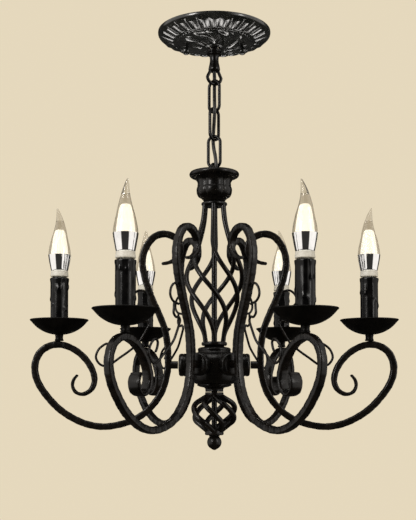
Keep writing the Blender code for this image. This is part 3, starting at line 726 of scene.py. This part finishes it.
def armShells():
    # Forged bar: the tail swells to full size, and past the candle the bar thins and spreads into a ribbon.
    knots = np.array(armTail + [(*knot, arm["halfThick"],
                                 arm["halfWide"]) for knot in armSweep] + armRibbon)
    full = np.stack([knots[:, 0], knots[:, 2], -knots[:, 1], knots[:, 3]], axis=1)
    both = denser(smoothLine(full, arm["rows"]), 8, 2.4)
    line = both[:, :3].copy()
    thick, wide = both[:, 1], both[:, 3]
    line[:, 1] = 0.0
    run = np.concatenate([[0.0], np.cumsum(np.linalg.norm(np.diff(line, axis=0), axis=1))])
    # hammer work: slow uneven swelling along the bar
    wave = 0.14 * np.sin(run * 0.37) + 0.10 * np.sin(run * 0.83 + 1.0)
    square = arm["square"] + (arm["spreadSquare"] - arm["square"]) * fade(wide, 6.3, 9.5)
    grid = bar(line, (0, 1, 0), wide + wave, thick + wave, 32, square)
    stub = smoothLine([(57.6, 533.9), (70.5, 533.9)], 12)
    tube = bar(inPlane(stub), (0, 1, 0), arm["tubeRadius"], arm["tubeRadius"], 28, roundEnds=False)
    return [shell(grid), shell(tube)]


def sideways(grid, start, depth):
    # Lay a shape turned about the vertical axis along +X instead, from a radius outwards.
    return np.stack([start - grid[..., 2], grid[..., 1], -depth - grid[..., 0]], axis=-1)


def capShells():
    # Stepped boss between hub and arm tube: a shank, a domed back, a flat rim with a groove, a small
    # collar.
    line = [(0.05, 0.2), (8.6, 0.2), (8.6, 2.6), (12.0, 3.0), (16.2, 4.0), (17.7, 5.6), (18.0, 7.6),
            (18.0, 9.6), (17.5, 10.1), (17.5, 10.9), (18.0, 11.4), (18.0, 14.4), (17.2, 16.4),
            (15.2, 17.6), (11.0, 18.0), (8.6, 18.2), (0.05, 18.2)]
    return [shell(sideways(turned(line, 72), 38.4, 533.9))]


def tendrilShells():
    # Round wire along the drop and along the stem, in the arm's plane.
    shells = []
    for knots, rows in ((tendrilDrop, 90), (tendrilStem, 230)):
        line = denser(smoothLine(inPlane(knots), rows), 5, 1.4)
        shells.append(shell(bar(line, (0, 1, 0), tendril["radius"], tendril["radius"], 12)))
    return shells


drawnTop = 393.4        # depth of the candle's top in the outlines below
candleDrop = sleeveTop - drawnTop
lowered = np.array([0.0, 0.0, -candleDrop])


def cupShells():
    # Thin spun bowl with a rolled rim and two turned rings, on a short stem with a nut at its foot.
    outer = smoothLine([(6.2, 483.6), (12.6, 482.6), (18.6, 481.0), (25.4, 478.2), (33.6, 473.2),
                        (39.2, 468.2), (44.2, 462.6)], 60)
    arc = np.radians(np.linspace(50, -130, 14))
    roll = np.stack([45.0 + 1.15 * np.cos(arc), 460.4 + 1.15 * np.sin(arc)], axis=1)
    inner = smoothLine([(43.4, 461.4), (38.2, 466.8), (32.8, 471.6), (24.8, 476.4), (18.2, 479.2),
                        (12.4, 480.8), (6.0, 481.2), (0.05, 481.2)], 50)
    stem = [(0.05, 495.8), (6.6, 495.8), (7.0, 495.2), (7.0, 493.8), (6.4, 493.2), (6.1, 492.6),
            (6.1, 488.4), (6.6, 487.6), (6.6, 486.5)]
    bowl = np.vstack([outer, roll, inner]) + np.array([0.0, candleDrop])
    return [shell(turned(np.vstack([stem, bowl]), 112, candleRadius))]


sleeve = {"top": 393.6, "lip": 1.6, "bottom": 478.0, "radius": 13.9, "widest": 15.1, "drips": 8}


def sleeveShells(seed):
    # Candle tube with set wax runs: each run is a ridge that hangs from the rim and ends in a round drop.
    depth = np.linspace(sleeve["top"] + sleeve["lip"], sleeve["bottom"], 150)[:, None]
    angle = np.linspace(0, 2 * np.pi, 144, endpoint=False)[None, :]
    radius = sleeve["radius"] + 0 * angle + 0 * depth
    local = np.random.default_rng(seed)
    for k in range(sleeve["drips"]):
        centre = 2 * np.pi * (k + local.uniform(-0.25, 0.25)) / sleeve["drips"]
        length = local.uniform(16, 68)
        width = local.uniform(0.17, 0.27)
        away = np.angle(np.exp(1j * (angle - centre - 0.08 * np.sin(depth * 0.11 + k))))
        end = sleeve["top"] + length
        stem = np.exp(-(away / width) ** 2) * (1 - fade(depth, end - 2.5, end + 1.0))
        drop = np.exp(-((away / (width * 1.25)) ** 2) - ((depth - end + 3.0) / 3.4) ** 2)
        radius = np.maximum(radius, sleeve["radius"] + 0.55 * stem + 1.15 * drop - 0.05)
    swellTop = 0.9 * (1 - fade(depth, 395.0, 403.0))
    radius = np.minimum(radius + swellTop, sleeve["widest"])
    outer = np.stack([candleRadius + radius * np.cos(angle), radius * np.sin(angle),
                      -depth + 0 * angle], axis=-1)
    lip = []
    for a in np.radians(np.linspace(0, 90, 7))[1:]:
        r = radius[:1] - 1.4 * (1 - np.cos(a))
        lip.append(np.stack([candleRadius + r * np.cos(angle), r * np.sin(angle),
                             0 * r - sleeve["top"] - sleeve["lip"] * (1 - np.sin(a))], axis=-1))
    bore = [turned([(12.4, sleeve["top"]), (12.0, sleeve["top"] + 0.6), (11.95, sleeve["bottom"])],
                   144, candleRadius)]
    grid = np.vstack([outer[::-1], *lip, *bore])
    return [shell(grid + lowered, wrapRows=True)]


bulb = {"lean": 5.2, "wallShare": 0.94}


def flame(grid, lean, swing):
    # Bend a bulb's tip: it leans with the square of its height and sways a little, in the arm's plane.
    height = np.clip((grid[..., 2] + 330.0) / 49.0, 0, 1)
    shift = lean * height ** 2 - 0.35 * lean * np.sin(height * np.pi)
    grid = grid.copy()
    grid[..., 0] += shift * math.cos(swing)
    grid[..., 1] += shift * math.sin(swing)
    return grid


def bulbPieces(k, turn):
    # A bulb's five pieces, each turned about the candle's axis; only the glass tip is bent.
    body = f"bulb_{k + 1}_body"
    swing = (0.4, 2.2, 2.9, -0.5, 1.2, -1.9)[k]
    # collar, then the chromed cup with a rolled lip and shallow flutes, then the glass
    collar = smoothRing([(7.2, 391.6), (13.6, 391.6), (14.2, 390.8), (14.0, 388.2), (13.5, 384.6),
                         (13.6, 382.2), (8.0, 382.2)], 0.4)
    piece(f"bulbCollar{k + 1}", [shell(turned(collar, 72, candleRadius) + lowered, wrapRows=True)],
          finishes["collar"], body, 50, [f"bulb_{k + 1}"], turn)
    outside = smoothLine([(13.2, 381.9), (13.6, 380.8), (14.9, 374.6), (16.6, 366.0), (17.7, 358.6),
                          (17.9, 356.8)], 40)
    inside = smoothLine([(17.3, 356.8), (15.8, 367.0), (13.9, 375.4), (12.6, 380.4), (9.0, 381.2)], 30)
    cup = np.vstack([outside, inside])
    piece(f"bulbChromeCup{k + 1}", [shell(turned(cup, 96, candleRadius) + lowered, wrapRows=True)],
          finishes["chrome"], body, 50, (), turn)
    core = smoothLine([(0.1, 379.6), (11.2, 379.6), (12.6, 372.0), (13.8, 362.0), (13.2, 352.0),
                       (11.9, 341.0), (10.0, 329.6), (8.0, 320.6), (6.0, 317.4), (0.1, 316.6)], 60)
    piece(f"bulbCore{k + 1}", [shell(turned(core, 64, candleRadius) + lowered)], finishes["glow"],
          body, 50, (), turn)
    outer = smoothLine([(16.4, 360.6), (17.3, 356.4), (17.2, 352.0), (16.0, 344.0), (13.8, 334.0),
                        (11.0, 322.4), (8.2, 311.0), (5.6, 300.0), (3.8, 292.0), (2.2, 286.0),
                        (1.0, 282.4), (0.1, 281.4)], 90)
    innerLine = outer[:66][::-1] * np.array([bulb["wallShare"], 1.0]) + np.array([0.0, 0.3])
    glass = np.vstack([outer, [[0.05, 281.4]], [[0.05, innerLine[0, 1]]], innerLine])
    glassGrid = flame(turned(glass, 64, candleRadius), bulb["lean"], swing)
    piece(f"bulbGlass{k + 1}", [shell(glassGrid + lowered, wrapRows=True)], finishes["glass"], body,
          70, (), turn)
    depth = np.linspace(393.2, 417.0, 120)
    thread = np.stack([6.35 + 0.4 * np.cos(depth * 2 * np.pi / 2.8), depth], axis=1)
    base = np.vstack([[[0.05, 391.9], [6.6, 391.9]], thread,
                      [[5.4, 418.4], [3.0, 420.2], [2.6, 421.8], [1.6, 422.6],
                                                             [0.05, 422.8]]])
    piece(f"bulbBase{k + 1}", [shell(turned(base, 48, candleRadius) + lowered)], finishes["brass"],
          body, 50, (), turn)


def buildArms():
    # The same arm six times, a sixth of a turn apart; only the wax runs differ.
    armMesh, capMesh, tendrilMesh, cupMesh = armShells(), capShells(), tendrilShells(), cupShells()
    for k in range(armCount):
        turn, n = 2 * math.pi * k / armCount, k + 1
        piece(f"armScroll{n}", armMesh, finishes["iron"], "fixture", 50, [f"arm_{n}"], turn)
        piece(f"armBoss{n}", capMesh, finishes["turnedIron"], "fixture", 40, [f"arm_cap_{n}"], turn)
        piece(f"tendrilWire{n}", tendrilMesh, finishes["iron"], "fixture", 50, [f"tendril_{n}"], turn)
        piece(f"dripBowl{n}", cupMesh, finishes["bowl"], "fixture", 40, [f"drip_cup_{n}"], turn)
        piece(f"waxCandle{n}", sleeveShells(20 + n), finishes["wax"], "fixture", 50,
              [f"candle_sleeve_{n}"], turn)
        bulbPieces(k, turn)
    print("arms, candles and bulbs done")


def keepNodes():
    # CAD nodes that stay, with a finish of their own.
    kept = {"ceiling_crossbar": "zinc", "wire_splice": "porcelain"}
    kept.update({f"lampholder_{k + 1}": "porcelain" for k in range(armCount)})
    for node, finish in kept.items():
        mesh = frame["nodes"][node].data
        mesh.materials.clear()
        mesh.materials.append(finishes[finish])


view = {"distance": 1.5366, "height": -0.5778, "aside": -0.0100, "lens": 67.16, "tilt": 2.0, "shift": 0.190}
studio = {"floor": -2.6, "radius": 5.0, "bend": 1.6, "top": 3.4, "glow": 1.0, "softbox": 1.1, "dim": 0.035}


def roomMesh():
    # Round room: a flat floor, a quarter-round bend up into a wall, and a shallow dome over it, turned
    # about z.
    arc = np.radians(np.linspace(0, 90, 16))
    low = np.stack([studio["radius"] - studio["bend"] + studio["bend"] * np.sin(arc),
                    studio["floor"] + studio["bend"] * (1 - np.cos(arc))], axis=1)
    dome = np.stack([studio["radius"] * np.cos(arc), studio["top"] + 1.5 * np.sin(arc)], axis=1)[:-1]
    line = np.vstack([[[0.02, studio["floor"]]], low, dome, [[0.02, studio["top"] + 1.5]]])
    angle = np.linspace(0, 2 * np.pi, 96, endpoint=False)[None, :]
    grid = np.stack([line[:, :1] * np.cos(angle), line[:, :1] * np.sin(angle),
                     line[:, 1:] + 0 * angle], axis=-1)
    index = np.arange(grid.shape[0] * 96).reshape(-1, 96)
    here, there = index[:-1], index[1:]
    faces = np.stack([here, there, np.roll(there, -1, axis=1), np.roll(here, -1, axis=1)],
                     axis=-1).reshape(-1, 4)
    mesh = bpy.data.meshes.new("studioRoom")
    mesh.from_pydata(grid.reshape(-1, 3).tolist(), [], faces.tolist())
    mesh.shade_smooth()
    return mesh


canopyOnly = bpy.data.collections.new("canopyOnly")


def buildStudio():
    # Camera, pale room, softbox world and four soft lamps.
    camera = bpy.data.cameras.new("viewCamera")
    camera.lens, camera.sensor_width = view["lens"], 36.0
    camera.shift_y = view["shift"]
    holder = bpy.data.objects.new("viewCamera", camera)
    holder.location = (view["aside"], -view["distance"], view["height"])
    holder.rotation_euler = (math.radians(90 + view["tilt"]), 0, 0)
    bpy.context.scene.collection.objects.link(holder)
    bpy.context.scene.camera = holder
    bpy.context.scene.view_settings.view_transform = "Standard"

    # pale room: it shows behind the lamp, while gloss sees the softboxes of the world instead
    mesh = roomMesh()
    wall, shader, wire, place = newFinish("paleWall", Roughness=0.9, Metallic=0.0,
                                          Base_Color=(0.04, 0.035, 0.03, 1))
    shader.inputs["Specular IOR Level"].default_value = 0.0
    shader.inputs["Emission Color"].default_value = (0.752, 0.662, 0.492, 1)
    shader.inputs["Emission Strength"].default_value = studio["glow"]
    mesh.materials.append(wall)
    room = bpy.data.objects.new("studioRoom", mesh)
    room.visible_glossy = False
    bpy.context.scene.collection.objects.link(room)

    # two tall softboxes, left and right of the front, with a dark gap between them and darkness behind
    world = bpy.data.worlds.new("softStudio")
    world.use_nodes = True
    tree = world.node_tree
    wire = Wire(tree, None)
    way = wire.make("ShaderNodeTexCoord", {}, {}, "Generated")
    x = wire.make("ShaderNodeSeparateXYZ", {}, {"Vector": way}, "X")
    y = wire.make("ShaderNodeSeparateXYZ", {}, {"Vector": way}, "Y")
    z = wire.make("ShaderNodeSeparateXYZ", {}, {"Vector": way}, "Z")
    around = wire.math("ABSOLUTE", wire.math("ARCTAN2", x, y * -1.0), 0.0)
    inner = wire.make("ShaderNodeMapRange", {"interpolation_type": "SMOOTHSTEP"},
                      {"Value": around, "From Min": 0.58, "From Max": 0.68})
    outer = wire.make("ShaderNodeMapRange", {"interpolation_type": "SMOOTHSTEP"},
                      {"Value": around, "From Min": 2.15, "From Max": 1.95})
    rise = wire.make("ShaderNodeMapRange", {"interpolation_type": "SMOOTHSTEP"},
                     {"Value": z, "From Min": -0.55, "From Max": -0.25})
    level = inner * outer * rise * studio["softbox"] + studio["dim"]
    background = tree.nodes["Background"]
    background.inputs["Color"].default_value = (1.0, 0.96, 0.91, 1)
    tree.links.new(level.socket, background.inputs["Strength"])
    bpy.context.scene.world = world
    lights = {"keyLight": ((-1.5, -1.6, 0.35), (0.5, 0.9), (0, 0, -0.35), 26.0),
              "fillLight": ((1.7, -1.3, 0.2), (0.35, 1.1), (0, 0, -0.4), 9.0),
              "lowLight": ((-0.05, 0.75, -1.5), (1.9, 0.35), (0, 0, 0), 21.0),
              "topLight": ((-0.2, -0.5, 1.3), (0.9, 0.9), (0, 0, -0.4), 10.0)}
    for name, (place, size, aim, power) in lights.items():
        light = bpy.data.lights.new(name, "AREA")
        light.shape, light.size, light.size_y, light.energy = "RECTANGLE", size[0], size[1], power
        light.color = (1.0, 0.97, 0.93)
        lamp = bpy.data.objects.new(name, light)
        lamp.location = place
        lamp.visible_camera = False
        if name == "lowLight":
            lamp.light_linking.receiver_collection = canopyOnly
        way = np.array(aim, float) - np.array(place, float)
        lamp.rotation_euler = (math.atan2(math.hypot(way[0], way[1]), -way[2]), 0,
                               math.atan2(-way[0], way[1]))
        bpy.context.scene.collection.objects.link(lamp)
    print("studio done")


buildStudio()
buildCanopy()
buildChain()
buildCable()
buildTopCup()
buildCage()
buildColumn()
buildLowerCage()
buildArms()
keepNodes()
